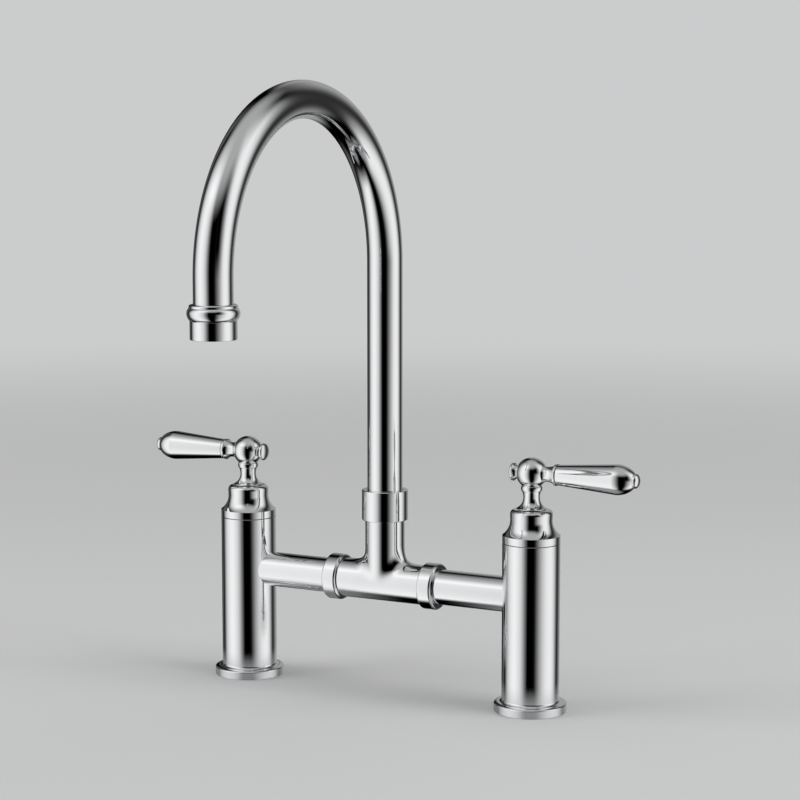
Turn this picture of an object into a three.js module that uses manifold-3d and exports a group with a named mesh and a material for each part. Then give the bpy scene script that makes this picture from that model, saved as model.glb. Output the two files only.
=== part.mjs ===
// A bridge kitchen faucet: two deck pillars joined by a bridge, a gooseneck spout that swivels on the
// bridge, and two quarter-turn valves with lever handles. Millimetres, +Z up. The origin is on the
// deck, under the middle of the faucet. The bridge runs along X and the spout reaches towards -Y.

import * as THREE from 'three';
import { mergeVertices } from 'three/addons/utils/BufferGeometryUtils.js';
import Module from 'manifold-3d';

const wasm = await Module();
wasm.setup();

// Layout and fits
const holeCentres = 203.2; // between the two deck holes, eight inches
const bridgeHeight = 71.2; // deck to the middle of the bridge tubes
const seam = 0.3; // between the faces of two pieces that meet
const fit = 0.25; // round a piece that sits inside another

// Pillar, with its foot and the valve chamber inside
const pillarRadius = 17.8;
const pillarHeight = 104.9;
const footRadius = 22.5;
const footRim = 4.6;
const footCrown = 1.4; // rise of the rounded top above the rim
const footFillet = 1.6;
const footChamfer = 0.3;
const socketRadius = 10.4; // for a half-inch supply tail
const socketDepth = 18;
const waterwayRadius = 6.5;
const chamberRadius = 10.5;
const seatDrop = 13.2; // valve seat below the middle of the bridge
const portRadius = 8.5;
const portWall = 1.9; // metal left between the chamber and the end of the bridge tube

// Gasket let into the underside of the foot
const gasketRim = 2.9; // metal outside the gasket
const gasketWidth = 3.8;
const gasketDepth = 1.5;

// Quarter-turn valve cartridge
const sleeveWall = 1;
const sealHeight = 3.7;
const sealWidth = 2;
const discThickness = 3;
const discGap = 0.1;
const discHole = { inner: 2.2, rim: 1.8, innerHalf: 34, outerHalf: 38 }; // half angles in degrees
const paddleHeight = 8;
const paddleWidth = 5;
const paddleRoom = 0.6; // above the paddle, inside the sleeve
const windowRadius = 3.8;
const threadLength = 20.9; // part that screws into the pillar
const flangeHeight = 3;
const hexAcross = 17;
const hexHeight = 5;
const clipRoom = 4.7; // from the top of the hexagon to the bonnet's top plate
const spindleRadius = 4;
const splineTeeth = 20;
const splineDepth = 0.5;
const splineReach = 8; // above the bonnet, inside the hub
const ringSection = 0.6; // section radius of the spindle's O-ring
const bodyRingSection = 0.75; // section radius of the O-ring under the cartridge's flange
const bodyRingDrop = 3.6; // below the top of the pillar
const spindleRingRise = 4; // above the top of the pillar
const clip = { thickness: 1, width: 2.2, gap: 60, depth: 0.8 };

// Bonnet that covers the cartridge
const bonnetRim = 4.6;
const bonnetFlare = 9.2;
const bonnetWaist = 13;
const bonnetBulge = 0.15; // the drum widens by this towards its top
const bonnetDrum = 3.75;
const bonnetCrown = 3;
const bonnetWall = 1.7;
const bonnetPlate = 2.5;
const bonnetChamfer = 0.3;
const spindleHole = 5.4;

// Handle hub: bell, waist, bead and ball
const skirtRadius = 9.2;
const skirtLip = 0.4;
const bellHeight = 6.55;
const waistRadius = 5.1;
const hubNeckRadius = 5.9;
const hubNeckRise = 3.9;
const beadBulge = 0.7; // how far the bead stands out of the neck
const beadHeight = 3.5;
const ballRadius = 9.65;
const grubRadius = 1.5;
const grubLength = 1.8;
const grubRise = 2.5;

// Lever, measured along its own axis from the middle of the ball
const shaftRadius = 2.5;
const ferruleFoot = 5.5; // where it meets the ball
const ferruleNeck = 4.7;
const ferruleToe = 2.7; // from the foot to the neck
const ferruleFlare = 5.2;
const ferruleMouth = 6.2;
const ferruleLip = 6.7;
const ferruleLipWidth = 1.3;
const gripLength = 49.4;
const gripNarrow = 6.25;
const gripWide = 9.35;
const gripDome = 11.4; // length of the rounded end
const gripTip = 4.3; // where the rounded end meets the button
const buttonRadius = 4.5;
const buttonBand = 0.5;
const buttonDome = 2.4;
const buttonThread = 1.5; // how far the shaft goes into the end button
const finialNeck = 3.9;
const finialMouth = 5.1;
const finialFlare = 2.4; // from the neck to the mouth
const finialRadius = 5.5;
const finialBand = 0.9;
const finialDome = 1.8;

// Bridge: tubes, union nuts and tee
const tubeRadius = 11.1; // seven-eighths inch tube
const bridgeWall = 2;
const tubeFlange = 1.4;
const unionSeal = 1.2;
const unionRadius = 14.6;
const unionStart = 29; // from the middle of the tee
const unionWidth = 10;
const unionLip = 1.5;
const unionEdge = 1.6;
const teeRadius = 12.5;
const teeFillet = 8.6;
const teeWall = 2.8;
const branchHeight = 39.8; // from the middle of the bridge to the spout nut

// Spout and its swivel
const nutRadius = 14.6;
const nutHeight = 19.2;
const nutLip = 2.9;
const nutEdge = 0.6;
const bushHeight = 2.5;
const spigotFlange = 2.1;
const spigotLength = 33;
const spigotPlug = 10.6; // goes up into the tube
const spigotWall = 2.4;
const spigotRings = [7, 17]; // O-rings above the spigot's lower end
const spigotRingSection = 0.75;
const spoutWall = 1.2;
const springHeight = 274.5; // deck to where the arch begins
const archRadius = 98.5;
const outletDrop = 33.1; // from where the arch ends down to the mouth

// Outlet
const housingRadius = 13.05;
const housingHeight = 10.2;
const housingWall = 1.55;
const housingLip = 1.2;
const housingLipWidth = 0.9;
const housingNeck = 3.2;
const collarBulge = 14.7;
const collarCrest = 4.1; // from the collar's lower edge up to its widest place
const collarShoulder = 13.1;
const collarBand = 6.8;
const collarBead = 13.5;
const collarBeadHeight = 2.1;
const washerHeight = 1;
const insertHeight = 6.8;
const insertHole = 1.3;
const insertHoles = 6;
const screenThickness = 0.6;
const screenHole = 2.4;
const screenPitch = 5.8;

// How finely the round forms are cut
const turnSides = 20;
const smallSides = 12;
const boreSides = 16;
const arcSteps = 2;
const spoutSteps = 28;
const filletSteps = 12;
const filletArc = 4;

const finishes = {
  chrome: { color: 0xd4d7da, roughness: 0.08, metalness: 1 },
  brass: { color: 0xb8914a, roughness: 0.35, metalness: 1 },
  steel: { color: 0xa9abad, roughness: 0.3, metalness: 1 },
  rubber: { color: 0x161616, roughness: 0.9, metalness: 0 },
  ceramic: { color: 0xe9e6df, roughness: 0.25, metalness: 0 },
  plastic: { color: 0xd8d8d4, roughness: 0.5, metalness: 0 },
};

// ---- Shared shapes ----

// The points of a path, each one once where a line and an arc meet.
function pointsOf(path, steps = arcSteps) {
  const points = [];
  for (const point of path.getPoints(steps)) {
    const last = points.at(-1);
    if (!last || last.distanceTo(point) > 1e-4) points.push(point);
  }
  return points;
}

// A turned piece: a profile of (radius, height), anticlockwise, spun round Z.
function turned(profile, sides = turnSides, steps = arcSteps) {
  return new THREE.LatheGeometry(pointsOf(profile, steps), sides).rotateX(Math.PI / 2);
}

function outline(pairs) {
  return new THREE.Path(pairs.map(([radius, height]) => new THREE.Vector2(radius, height)));
}

// Adds the lines through some (radius, height) pairs to a profile.
function lines(profile, pairs) {
  for (const [radius, height] of pairs) profile.lineTo(radius, height);
}

// Adds an arc that ends upright at (radius, height).
function arcToUpright(profile, radius, height) {
  const { x, y } = profile.currentPoint;
  const across = x - radius;
  const bend = (across ** 2 + (height - y) ** 2) / (2 * across);
  const start = Math.atan2(y - height, x - radius - bend);
  profile.absarc(radius + bend, height, Math.abs(bend), start, bend > 0 ? Math.PI : 0, bend > 0);
}

// Adds an arc that leaves upright and ends at (radius, height).
function arcFromUpright(profile, radius, height) {
  const { x, y } = profile.currentPoint;
  const across = radius - x;
  const bend = (across ** 2 + (height - y) ** 2) / (2 * across);
  const end = Math.atan2(height - y, radius - x - bend);
  profile.absarc(x + bend, y, Math.abs(bend), bend > 0 ? Math.PI : 0, end, bend > 0);
}

// Adds a quarter round from an upright side to a flat top, or back down with a negative height.
function crown(profile, width, height) {
  const { x, y } = profile.currentPoint;
  profile.absellipse(x - width, y, width, height, 0, Math.PI / 2, false, 0);
}

// Adds a bulge of half an ellipse that stands out from the profile's last radius.
function bulge(profile, middle, width, height) {
  const { x } = profile.currentPoint;
  profile.absellipse(x, middle, width, height / 2, -Math.PI / 2, Math.PI / 2, false, 0);
}

function ring(inner, outer, low, high, sides = turnSides) {
  return turned(outline([[inner, low], [outer, low], [outer, high], [inner, high], [inner, low]]), sides);
}

function sealRing(middle, section, height, sides) {
  const profile = new THREE.Path();
  profile.absarc(middle, height, section, 0, 2 * Math.PI, false);
  return turned(profile, sides);
}

function post(radius, low, high, sides = turnSides) {
  const shape = new THREE.CylinderGeometry(radius, radius, high - low, sides).rotateX(Math.PI / 2);
  return shape.translate(0, 0, (low + high) / 2);
}

// Turns a piece that was made along Z so that it lies along X.
function alongX(geometry) {
  return geometry.rotateY(Math.PI / 2);
}

function bar(radius, from, to, sides = turnSides) {
  return alongX(post(radius, from, to, sides));
}

function prism(shape, low, high) {
  const options = { depth: high - low, bevelEnabled: false };
  return new THREE.ExtrudeGeometry(shape, options).translate(0, 0, low);
}

function disc(radius, sides = turnSides) {
  const corners = [];
  for (let i = 0; i < sides; i++) {
    const angle = (2 * Math.PI * i) / sides;
    corners.push(new THREE.Vector2(radius * Math.cos(angle), radius * Math.sin(angle)));
  }
  return new THREE.Shape(corners);
}

function holeAt(x, y, radius, sides) {
  return new THREE.Path(disc(radius, sides).getPoints().map((p) => new THREE.Vector2(p.x + x, p.y + y)));
}

// ---- Joining and cutting ----

function solidOf(geometry) {
  const bare = geometry.clone();
  bare.deleteAttribute('normal');
  bare.deleteAttribute('uv');
  const { index, attributes } = mergeVertices(bare, 1e-4);
  const corners = [];
  for (let i = 0; i < index.count; i += 3) {
    const [a, b, c] = [index.getX(i), index.getX(i + 1), index.getX(i + 2)];
    if (a !== b && b !== c && c !== a) corners.push(a, b, c);
  }
  const vertProperties = new Float32Array(attributes.position.array);
  return new wasm.Manifold(new wasm.Mesh({ numProp: 3, vertProperties, triVerts: new Uint32Array(corners) }));
}

function geometryOf(solid) {
  const { vertProperties, triVerts } = solid.getMesh();
  const geometry = new THREE.BufferGeometry();
  geometry.setAttribute('position', new THREE.BufferAttribute(vertProperties, 3));
  geometry.setIndex(new THREE.BufferAttribute(triVerts, 1));
  geometry.computeVertexNormals();
  return geometry;
}

function joined(...pieces) {
  return geometryOf(pieces.map(solidOf).reduce((whole, piece) => whole.add(piece)));
}

function cut(piece, ...tools) {
  return geometryOf(tools.map(solidOf).reduce((whole, tool) => whole.subtract(tool), solidOf(piece)));
}

// ---- Heights that the pieces of one valve share ----

const seatHeight = bridgeHeight - seatDrop;
const discRadius = chamberRadius - 2 * sleeveWall - 4 * fit;
const sleeveInner = discRadius + 2 * fit;
const fixedDiscLow = seatHeight + sealHeight + seam;
const movingDiscLow = fixedDiscLow + discThickness + discGap;
const paddleLow = movingDiscLow + discThickness + discGap;
const paddleTop = paddleLow + paddleHeight;
const bonnetLow = pillarHeight + seam;
const bonnetTop = bonnetLow + bonnetRim + bonnetFlare + bonnetDrum + bonnetCrown;
const bonnetInner = bonnetWaist - bonnetWall;
const cartridgeTop = bonnetTop - bonnetPlate - clipRoom;
const clipLow = cartridgeTop + seam;
const hubLow = bonnetTop + seam;
const waistHeight = hubLow + skirtLip + bellHeight;
const splineTop = bonnetTop + splineReach;
const beadLow = waistHeight + hubNeckRise;
const ballLow = beadLow + beadHeight;
const ballHeight = ballLow + Math.sqrt(ballRadius ** 2 - hubNeckRadius ** 2);

// ---- Pillar ----

const tubeEnd = chamberRadius + portWall + seam; // bridge tube's end, from the pillar's axis
const gasketOuter = footRadius - gasketRim;
const gasketInner = gasketOuter - gasketWidth;

function pillarBody() {
  const profile = outline([
    [socketRadius, 0],
    [gasketInner, 0],
    [gasketInner, gasketDepth],
    [gasketOuter, gasketDepth],
    [gasketOuter, 0],
    [footRadius - footChamfer, 0],
    [footRadius, footChamfer],
    [footRadius, footRim],
  ]);
  crown(profile, footRadius - pillarRadius - footFillet, footCrown);
  arcToUpright(profile, pillarRadius, footRim + footCrown + footFillet);
  lines(profile, [
    [pillarRadius, pillarHeight],
    [chamberRadius, pillarHeight],
    [chamberRadius, seatHeight],
    [waterwayRadius, seatHeight],
    [waterwayRadius, socketDepth],
    [socketRadius, socketDepth],
    [socketRadius, 0],
  ]);
  const port = bar(portRadius, -tubeEnd, 0).translate(0, 0, bridgeHeight);
  const pocket = bar(tubeRadius + fit, -footRadius, seam - tubeEnd).translate(0, 0, bridgeHeight);
  return cut(turned(profile), port, pocket);
}

function baseGasket() {
  return ring(gasketInner + fit, gasketOuter - fit, 0, gasketDepth - seam);
}

// ---- Valve cartridge ----

function cartridgeSeal() {
  return ring(discRadius - sealWidth, discRadius, seatHeight, fixedDiscLow - seam, smallSides);
}

// A ceramic disc with two openings like a bow tie, which lie along X.
function valveDisc(low) {
  const shape = disc(discRadius, smallSides);
  const outer = THREE.MathUtils.degToRad(discHole.outerHalf);
  const inner = THREE.MathUtils.degToRad(discHole.innerHalf);
  for (const middle of [0, Math.PI]) {
    const opening = new THREE.Path();
    opening.absarc(0, 0, discRadius - discHole.rim, middle - outer, middle + outer, false);
    opening.absarc(0, 0, discHole.inner, middle + inner, middle - inner, true);
    shape.holes.push(new THREE.Path(pointsOf(opening)));
  }
  return prism(shape, low, low + discThickness);
}

function cartridgeBody() {
  const sleeveOuter = sleeveInner + sleeveWall;
  const screwRadius = chamberRadius - fit;
  const grooveHalf = bodyRingSection + fit;
  const grooveHeight = pillarHeight - bodyRingDrop;
  const grooveRadius = screwRadius - 2 * bodyRingSection - fit;
  const flangeTop = pillarHeight + flangeHeight;
  const hexLow = cartridgeTop - hexHeight;
  const profile = outline([
    [sleeveInner, seatHeight + seam],
    [sleeveOuter, seatHeight + seam],
    [sleeveOuter, pillarHeight - threadLength],
    [screwRadius, pillarHeight - threadLength],
    [screwRadius, grooveHeight - grooveHalf],
    [grooveRadius, grooveHeight - grooveHalf],
    [grooveRadius, grooveHeight + grooveHalf],
    [screwRadius, grooveHeight + grooveHalf],
    [screwRadius, pillarHeight],
    [bonnetWaist, pillarHeight],
    [bonnetWaist, flangeTop],
    [bonnetInner - fit, flangeTop],
    [bonnetInner - fit, hexLow],
    [spindleRadius + fit, hexLow],
    [spindleRadius + fit, paddleTop + paddleRoom],
    [sleeveInner, paddleTop + paddleRoom],
    [sleeveInner, seatHeight + seam],
  ]);
  const hexRadius = hexAcross / Math.sqrt(3);
  const hexagon = cut(
    post(hexRadius, hexLow - seam, cartridgeTop, 6),
    post(spindleRadius + fit, hexLow - 1, cartridgeTop + 1, smallSides),
  );
  const reach = sleeveOuter + 1;
  const window = bar(windowRadius, -reach, reach, smallSides).rotateZ(Math.PI / 2);
  window.translate(0, 0, (paddleLow + paddleTop) / 2);
  return cut(joined(turned(profile, smallSides), hexagon), window);
}

function cartridgeRing() {
  const middle = chamberRadius - 1.5 * fit - bodyRingSection;
  return sealRing(middle, bodyRingSection, pillarHeight - bodyRingDrop, smallSides);
}

function spline(extra) {
  const corners = [];
  for (let i = 0; i < 2 * splineTeeth; i++) {
    const radius = spindleRadius + extra - (i % 2) * splineDepth;
    const angle = (Math.PI * i) / splineTeeth;
    corners.push(new THREE.Vector2(radius * Math.cos(angle), radius * Math.sin(angle)));
  }
  return new THREE.Shape(corners);
}

function spindle() {
  const ringHeight = pillarHeight + spindleRingRise;
  const ringHalf = ringSection + fit;
  const ringRoot = spindleRadius - 2 * ringSection;
  const clipRoot = spindleRadius - clip.depth;
  const stem = outline([
    [0, paddleTop - seam],
    [spindleRadius, paddleTop - seam],
    [spindleRadius, ringHeight - ringHalf],
    [ringRoot, ringHeight - ringHalf],
    [ringRoot, ringHeight + ringHalf],
    [spindleRadius, ringHeight + ringHalf],
    [spindleRadius, clipLow - discGap],
    [clipRoot, clipLow - discGap],
    [clipRoot, clipLow + clip.thickness + seam],
    [0, clipLow + clip.thickness + seam],
  ]);
  const paddle = new THREE.BoxGeometry(2 * discRadius - 1, paddleWidth, paddleHeight);
  paddle.translate(0, 0, (paddleLow + paddleTop) / 2);
  const head = prism(spline(0), clipLow + clip.thickness, splineTop);
  return joined(turned(stem, smallSides), paddle, head);
}

function spindleRing() {
  const middle = spindleRadius - ringSection + fit / 4;
  return sealRing(middle, ringSection, pillarHeight + spindleRingRise, smallSides);
}

function spindleClip() {
  const inner = spindleRadius - clip.depth + fit;
  const half = THREE.MathUtils.degToRad(clip.gap / 2);
  const shape = new THREE.Shape();
  shape.absarc(0, 0, inner + clip.width, half, 2 * Math.PI - half, false);
  shape.absarc(0, 0, inner, 2 * Math.PI - half, half, true);
  return prism(new THREE.Shape(pointsOf(shape, 2 * arcSteps)), clipLow, clipLow + clip.thickness);
}

// ---- Bonnet ----

function bonnet() {
  const flareLow = bonnetLow + bonnetRim;
  const flareTop = flareLow + bonnetFlare;
  const drumTop = flareTop + bonnetDrum;
  const flangeRoom = pillarHeight + flangeHeight + seam;
  const profile = outline([
    [bonnetWaist + fit, bonnetLow],
    [pillarRadius - bonnetChamfer, bonnetLow],
    [pillarRadius, bonnetLow + bonnetChamfer],
    [pillarRadius, flareLow],
  ]);
  arcToUpright(profile, bonnetWaist, flareTop);
  profile.lineTo(bonnetWaist + bonnetBulge, drumTop);
  crown(profile, bonnetCrown, bonnetCrown);
  lines(profile, [
    [spindleHole, bonnetTop],
    [spindleHole, bonnetTop - bonnetPlate],
    [bonnetInner, bonnetTop - bonnetPlate],
    [bonnetInner, flangeRoom],
    [bonnetWaist + fit, flangeRoom],
    [bonnetWaist + fit, bonnetLow],
  ]);
  return turned(profile);
}

// ---- Handle ----

const shaftBore = shaftRadius + fit;
const ferruleSeat = Math.sqrt(ballRadius ** 2 - (ferruleFoot + fit) ** 2); // flats on the ball
const finialSeat = Math.sqrt(ballRadius ** 2 - (finialNeck + fit) ** 2);
const ferruleStart = ferruleSeat + seam;
const ferruleEnd = ferruleStart + ferruleToe + ferruleFlare + ferruleLipWidth;
const gripStart = ferruleEnd + seam;
const gripEnd = gripStart + gripLength;
const buttonStart = gripEnd + seam;
const shaftEnd = buttonStart + buttonThread;
const finialStart = finialSeat + seam;
const finialEnd = finialStart + finialFlare + finialBand + finialDome;
const finialThread = finialEnd - finialDome;

function handleHub(back) {
  const beadMiddle = beadLow + beadHeight / 2;
  const ballStart = Math.atan2(ballLow - ballHeight, hubNeckRadius);
  const profile = outline([[0, hubLow], [skirtRadius, hubLow], [skirtRadius, hubLow + skirtLip]]);
  arcToUpright(profile, waistRadius, waistHeight);
  arcFromUpright(profile, hubNeckRadius, beadLow);
  bulge(profile, beadMiddle, beadBulge, beadHeight);
  profile.absarc(0, ballHeight, ballRadius, ballStart, 0, false);
  profile.absarc(0, ballHeight, ballRadius, 0, Math.PI / 2, false);
  const socket = prism(spline(fit), hubLow - 1, splineTop + seam);
  const cross = bar(shaftBore, -ballRadius, ballRadius, smallSides).translate(0, 0, ballHeight);
  const flats = [
    bar(ballRadius, ferruleSeat, ballRadius + 1).translate(0, 0, ballHeight),
    bar(ballRadius, -ballRadius - 1, -finialSeat).translate(0, 0, ballHeight),
  ];
  const grubHole = bar(grubRadius + fit, 0, skirtRadius, smallSides).rotateZ((back * Math.PI) / 2);
  return cut(turned(profile), socket, cross, ...flats, grubHole.translate(0, 0, hubLow + grubRise));
}

function grubScrew(back) {
  const start = spindleRadius + fit + seam;
  const screw = bar(grubRadius, start, start + grubLength, smallSides / 2);
  return screw.rotateZ((back * Math.PI) / 2).translate(0, 0, hubLow + grubRise);
}

function leverShaft() {
  return bar(shaftRadius, -finialThread, shaftEnd, smallSides);
}

function leverFerrule() {
  const lipStart = ferruleEnd - ferruleLipWidth;
  const profile = outline([[shaftBore, ferruleStart], [ferruleFoot, ferruleStart]]);
  arcToUpright(profile, ferruleNeck, ferruleStart + ferruleToe);
  arcFromUpright(profile, ferruleMouth, lipStart);
  lines(profile, [
    [ferruleLip, lipStart],
    [ferruleLip, ferruleEnd],
    [shaftBore, ferruleEnd],
    [shaftBore, ferruleStart],
  ]);
  return alongX(turned(profile, smallSides));
}

function leverGrip() {
  const domeLow = gripEnd - gripDome;
  const turn = Math.acos(gripTip / gripWide);
  const profile = outline([[shaftBore, gripStart], [gripNarrow, gripStart], [gripWide, domeLow]]);
  profile.absellipse(0, domeLow, gripWide, gripDome / Math.sin(turn), 0, turn, false, 0);
  lines(profile, [[shaftBore, gripEnd], [shaftBore, gripStart]]);
  return alongX(turned(profile, smallSides));
}

function leverButton() {
  const profile = outline([
    [0, shaftEnd + seam],
    [shaftBore, shaftEnd + seam],
    [shaftBore, buttonStart],
    [buttonRadius, buttonStart],
    [buttonRadius, buttonStart + buttonBand],
  ]);
  crown(profile, buttonRadius, buttonDome);
  return alongX(turned(profile, smallSides));
}

function finial() {
  const bandStart = finialStart + finialFlare;
  const profile = outline([
    [0, finialThread + seam],
    [shaftBore, finialThread + seam],
    [shaftBore, finialStart],
    [finialNeck, finialStart],
  ]);
  arcFromUpright(profile, finialMouth, bandStart);
  lines(profile, [[finialRadius, bandStart], [finialRadius, bandStart + finialBand]]);
  crown(profile, finialRadius, finialDome);
  return alongX(turned(profile, smallSides)).rotateZ(Math.PI);
}

// ---- Bridge ----

const unionEnd = unionStart + unionWidth;
const flangeEnd = unionEnd - unionLip - seam;
const bridgeTubeStart = flangeEnd - tubeFlange;
const unionSealEnd = bridgeTubeStart - seam;
const teeArm = unionSealEnd - unionSeal - seam;

function bridgeTube() {
  const inner = tubeRadius - bridgeWall;
  const far = holeCentres / 2 - tubeEnd;
  const profile = outline([
    [inner, bridgeTubeStart],
    [teeRadius, bridgeTubeStart],
    [teeRadius, flangeEnd],
    [tubeRadius, flangeEnd],
    [tubeRadius, far],
    [inner, far],
    [inner, bridgeTubeStart],
  ]);
  return alongX(turned(profile));
}

// A round nut over the stub it screws on, with a lip that holds what stands inside it.
function collarNut(radius, edge, start, end, lip) {
  const profile = outline([[teeRadius + fit, start], [radius - edge, start]]);
  profile.absarc(radius - edge, start + edge, edge, -Math.PI / 2, 0, false);
  profile.lineTo(radius, end - edge);
  crown(profile, edge, edge);
  lines(profile, [
    [tubeRadius + fit, end],
    [tubeRadius + fit, end - lip],
    [teeRadius + fit, end - lip],
    [teeRadius + fit, start],
  ]);
  return turned(profile);
}

function unionWasher() {
  return alongX(ring(tubeRadius - bridgeWall, teeRadius - fit, teeArm + seam, unionSealEnd));
}

// One side of the tee's fillet: the surface of a ball rolled round the corner between arm and branch,
// closed by a fan to the middle of the tee.
function filletWedge() {
  const reach = teeRadius + teeFillet;
  const points = [0, 0, 0];
  const corners = [];
  const at = (i, j) => 1 + i * (filletArc + 1) + j;
  for (let i = 0; i <= filletSteps; i++) {
    const swing = (Math.PI * i) / filletSteps;
    const ball = new THREE.Vector3(Math.sin(swing), Math.cos(swing), Math.sin(swing));
    const toArm = new THREE.Vector3(0, -ball.y, -ball.z);
    const toBranch = new THREE.Vector3(-ball.x, -ball.y, 0);
    for (let j = 0; j <= filletArc; j++) {
      const touch = toArm.clone().lerp(toBranch, j / filletArc).normalize();
      points.push(...ball.clone().multiplyScalar(reach).addScaledVector(touch, teeFillet));
    }
  }
  for (let i = 0; i < filletSteps; i++) {
    for (let j = 0; j < filletArc; j++) {
      corners.push(at(i, j), at(i, j + 1), at(i + 1, j + 1));
      corners.push(at(i, j), at(i + 1, j + 1), at(i + 1, j));
    }
    corners.push(at(i, 0), at(i + 1, 0), 0);
    corners.push(at(i + 1, filletArc), at(i, filletArc), 0);
  }
  const wedge = new THREE.BufferGeometry();
  wedge.setAttribute('position', new THREE.Float32BufferAttribute(points, 3));
  wedge.setIndex(corners);
  return wedge;
}

function teeBody() {
  const wedge = filletWedge();
  const outside = joined(
    bar(teeRadius, -teeArm, teeArm),
    post(teeRadius, 0, branchTop - bridgeHeight),
    wedge,
    wedge.clone().rotateZ(Math.PI),
  );
  const armBore = bar(teeRadius - teeWall, -teeArm - 1, teeArm + 1);
  const branchBore = post(spigotBore, 0, branchTop - bridgeHeight + 1);
  return cut(outside, armBore, branchBore).translate(0, 0, bridgeHeight);
}

// ---- Spout ----

const nutLow = bridgeHeight + branchHeight;
const nutTop = nutLow + nutHeight;
const bushTop = nutTop - nutLip - seam;
const spoutLow = bushTop - bushHeight; // lower end of the spout tube
const spigotFlangeTop = spoutLow - seam;
const branchTop = spigotFlangeTop - spigotFlange - seam;
const spigotLow = branchTop - spigotLength;
const spigotBore = teeRadius - teeWall + fit;
const spigotRadius = spigotBore - fit;
const mouthHeight = springHeight - outletDrop;
const housingTop = mouthHeight + housingHeight;
const collarLow = housingTop + seam;
const neckTop = housingTop + housingNeck;
const washerLow = neckTop + seam;
const spoutEnd = washerLow + washerHeight + seam; // outlet end of the spout tube

function spoutSpigot() {
  const plugRadius = tubeRadius - spoutWall - fit - discGap;
  const root = spigotRadius - 2 * spigotRingSection - fit / 2;
  const half = spigotRingSection + fit;
  const profile = outline([[spigotRadius - spigotWall, spigotLow], [spigotRadius, spigotLow]]);
  for (const rise of spigotRings) {
    const middle = spigotLow + rise;
    lines(profile, [
      [spigotRadius, middle - half],
      [root, middle - half],
      [root, middle + half],
      [spigotRadius, middle + half],
    ]);
  }
  lines(profile, [
    [spigotRadius, spigotFlangeTop - spigotFlange],
    [teeRadius - fit, spigotFlangeTop - spigotFlange],
    [teeRadius - fit, spigotFlangeTop],
    [plugRadius, spigotFlangeTop],
    [plugRadius, spigotFlangeTop + spigotPlug],
    [spigotRadius - spigotWall, spigotFlangeTop + spigotPlug],
    [spigotRadius - spigotWall, spigotLow],
  ]);
  return turned(profile);
}

function spigotRing(rise) {
  return sealRing(spigotRadius - spigotRingSection, spigotRingSection, spigotLow + rise, turnSides);
}

// The middle line of the spout: straight up, over a half circle and straight down.
class Gooseneck extends THREE.Curve {
  getPoint(t, target = new THREE.Vector3()) {
    const rise = springHeight - spoutLow;
    const arch = Math.PI * archRadius;
    const way = t * (rise + arch + springHeight - spoutEnd);
    if (way < rise) return target.set(0, 0, spoutLow + way);
    if (way > rise + arch) return target.set(0, -2 * archRadius, springHeight - (way - rise - arch));
    const angle = (way - rise) / archRadius;
    const back = archRadius * (Math.cos(angle) - 1);
    return target.set(0, back, springHeight + archRadius * Math.sin(angle));
  }
}

function spoutTube() {
  const section = disc(tubeRadius, boreSides);
  section.holes.push(disc(tubeRadius - spoutWall, boreSides));
  const options = { steps: spoutSteps, extrudePath: new Gooseneck() };
  return new THREE.ExtrudeGeometry(section, options);
}

function outletCollar() {
  const bulgeTop = collarLow + collarBand;
  const inner = tubeRadius + fit;
  const profile = outline([[inner, collarLow], [collarShoulder, collarLow]]);
  arcToUpright(profile, collarBulge, collarLow + collarCrest);
  arcFromUpright(profile, collarBead, bulgeTop);
  profile.lineTo(collarBead, bulgeTop + collarBeadHeight / 2);
  crown(profile, collarBead - inner - seam, collarBeadHeight / 2);
  lines(profile, [[inner, bulgeTop + collarBeadHeight], [inner, collarLow]]);
  return turned(profile);
}

function aeratorHousing() {
  const inner = housingRadius - housingWall;
  const neckInner = tubeRadius - spoutWall;
  const profile = outline([
    [inner - housingLipWidth, mouthHeight],
    [housingRadius, mouthHeight],
    [housingRadius, housingTop],
    [tubeRadius, housingTop],
    [tubeRadius, neckTop],
    [neckInner, neckTop],
    [neckInner, housingTop - housingLip],
    [inner, housingTop - housingLip],
    [inner, mouthHeight + housingLip],
    [inner - housingLipWidth, mouthHeight + housingLip],
    [inner - housingLipWidth, mouthHeight],
  ]);
  return turned(profile);
}

function aeratorInsert() {
  const radius = housingRadius - housingWall - fit;
  const shape = disc(radius);
  for (let i = 0; i < insertHoles; i++) {
    const angle = (2 * Math.PI * i) / insertHoles;
    const out = radius * 0.6;
    shape.holes.push(holeAt(out * Math.cos(angle), out * Math.sin(angle), insertHole, 6));
  }
  const low = mouthHeight + housingLip + seam;
  return prism(shape, low, low + insertHeight);
}

// The outlet grid: a centre hole with a ring of six round it.
function aeratorScreen() {
  const shape = disc(housingRadius - housingWall - housingLipWidth - fit);
  for (let row = -1; row <= 1; row++) {
    const count = 3 - Math.abs(row);
    for (let i = 0; i < count; i++) {
      const x = (i - (count - 1) / 2) * screenPitch;
      shape.holes.push(holeAt(x, (row * screenPitch * Math.sqrt(3)) / 2, screenHole, 6));
    }
  }
  const top = mouthHeight + housingLip;
  return prism(shape, top - screenThickness, top);
}

// ---- Assembly ----

const faucet = new THREE.Group();
faucet.position.y = archRadius + (collarBulge - footRadius) / 2;

function add(group, name, finish, geometry) {
  const mesh = new THREE.Mesh(geometry, new THREE.MeshStandardMaterial(finishes[finish]));
  mesh.name = name;
  group.add(mesh);
}

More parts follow.
